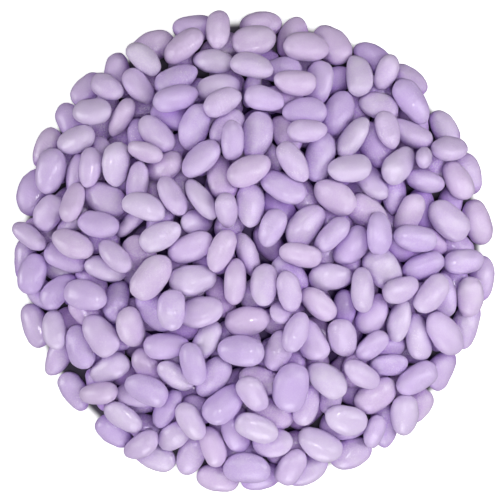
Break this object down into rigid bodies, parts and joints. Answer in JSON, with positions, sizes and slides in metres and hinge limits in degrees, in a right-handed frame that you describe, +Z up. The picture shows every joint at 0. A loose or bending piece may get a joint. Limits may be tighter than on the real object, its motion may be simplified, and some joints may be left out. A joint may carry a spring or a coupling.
{
  "type": "sugared almonds",
  "caption": "Round low heap of sugared almonds, egg-shaped with a smooth satin sugar shell, poured out on a flat surface.",
  "frame": {"origin": "on the surface that the heap rests on, under the middle of the heap", "axes": "+Z is up, X and Y are level; the heap is round and has no front"},
  "size_m": [0.2885, 0.2901, 0.0438],
  "materials": {
    "sugar_shell": "smooth satin sugar shell, lilac, with faint paler mottling"
  },
  "bodies": {
    "root": {"almond_heap": "sugar_shell"}
  },
  "joints": []
}
